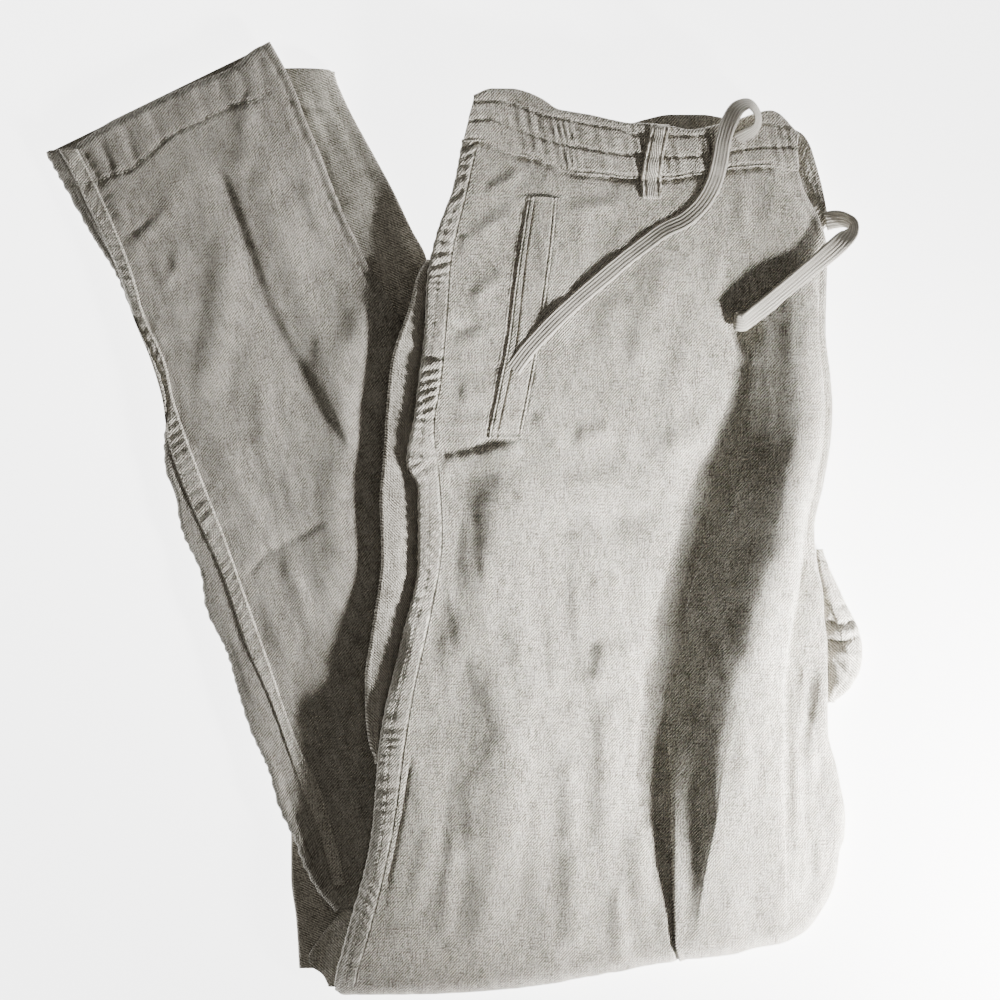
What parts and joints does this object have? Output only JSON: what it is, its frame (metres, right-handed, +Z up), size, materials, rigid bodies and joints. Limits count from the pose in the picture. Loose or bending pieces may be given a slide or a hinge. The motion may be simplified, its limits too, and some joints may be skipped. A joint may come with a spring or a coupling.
{
  "type": "folded linen drawstring trousers",
  "caption": "Tapered linen trousers with a gathered drawstring waistband and slant pockets, folded in half and laid flat with the legs turned under at the knee.",
  "frame": {"origin": "on the surface that the trousers lie on, under the middle of the folded bundle's outline", "axes": "+Y from the knee fold towards the waistband, +X from the outer seams towards the seat, +Z up from the surface"},
  "size_m": [0.5015, 0.5851, 0.036],
  "materials": {
    "linen": "matte natural linen twill",
    "linen_seam": "matte natural linen twill, felled and topstitched",
    "knitted_cord": "matte ribbed knitted cord"
  },
  "bodies": {
    "root": {"front_right": "linen", "side_seam_right": "linen_seam", "back_right": "linen", "back_right_knee": "linen", "back_right_lower": "linen", "front_right_lower": "linen", "front_left": "linen", "back_left": "linen", "outseam_left": "linen_seam", "waistband_right": "linen", "waistband_back": "linen", "waistband_left": "linen", "belt_loop_right": "linen_seam", "belt_loop_left": "linen_seam", "pocket_welt": "linen_seam", "pocket_binding": "linen_seam", "seat_right": "linen", "seat_seam": "linen_seam", "folded_layers": "linen", "drawstring_right": "knitted_cord", "drawstring_left": "knitted_cord"}
  },
  "joints": []
}
